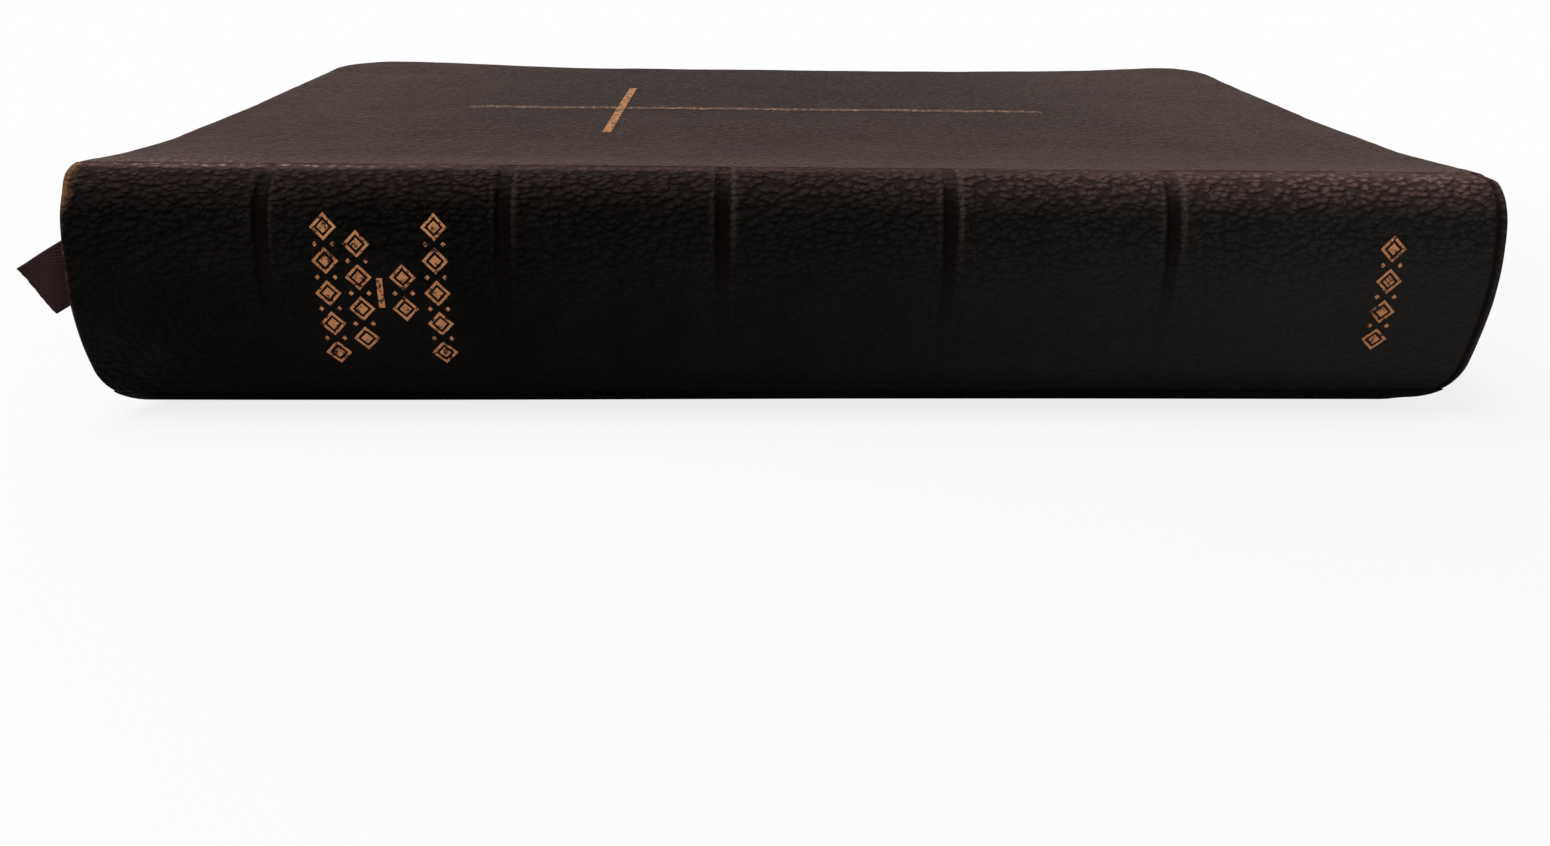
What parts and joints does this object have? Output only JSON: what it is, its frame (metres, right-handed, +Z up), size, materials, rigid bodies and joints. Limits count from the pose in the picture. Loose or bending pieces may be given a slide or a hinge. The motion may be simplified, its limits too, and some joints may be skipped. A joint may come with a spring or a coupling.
{
  "type": "antique leather prayer book",
  "caption": "Small closed book bound in dark pebbled leather, with a rounded grooved spine, hinged covers, a gilt cross and a ribbon marker.",
  "frame": {"origin": "middle of the back cover's outer face, which the book lies on", "axes": "+X along the spine from head to tail, +Y from the spine to the fore-edge, +Z up through the closed book"},
  "size_m": [0.1491, 0.0925, 0.0254],
  "materials": {
    "gilt_page_edges": "thin leaves pressed tight, edges gilt and rubbed",
    "endpaper": "smooth cream endpaper",
    "lining_cloth": "open lining cloth set in glue",
    "lining_paper": "brown lining paper",
    "card": "flexible grey-brown card",
    "headband_cloth": "woven headband, dulled",
    "ribbon": "dark maroon woven ribbon, frayed",
    "cover_leather": "dark brown-black, fine pebble grain, satin, rubbed",
    "spine_leather": "dark brown-black, coarse pebble grain, rubbed at the caps",
    "gilt": "gold leaf tooling, worn"
  },
  "bodies": {
    "block": {"text_block": "gilt_page_edges", "front_flyleaf": "endpaper", "back_flyleaf": "endpaper", "spine_mull": "lining_cloth", "spine_lining_paper": "lining_paper", "headband_head": "headband_cloth", "headband_tail": "headband_cloth", "ribbon_marker": "ribbon", "spine_inlay": "card", "spine_leather": "spine_leather", "gilt_title_ornament": "gilt", "gilt_tail_ornament": "gilt"},
    "front_cover": {"front_board": "card", "front_cover_leather": "cover_leather", "front_pastedown": "endpaper", "gilt_cross": "gilt"},
    "back_cover": {"back_board": "card", "back_cover_leather": "cover_leather", "back_pastedown": "endpaper"}
  },
  "joints": [
    {"name": "front_cover_hinge", "type": "hinge", "parent": "block", "child": "front_cover", "pos_m": [0, -0.043, 0.0255], "axis": [1, 0, 0], "range_deg": [0, 180]},
    {"name": "back_cover_hinge", "type": "hinge", "parent": "block", "child": "back_cover", "pos_m": [0, -0.04724, 0.00115], "axis": [-1, 0, 0], "range_deg": [0, 180]}
  ]
}
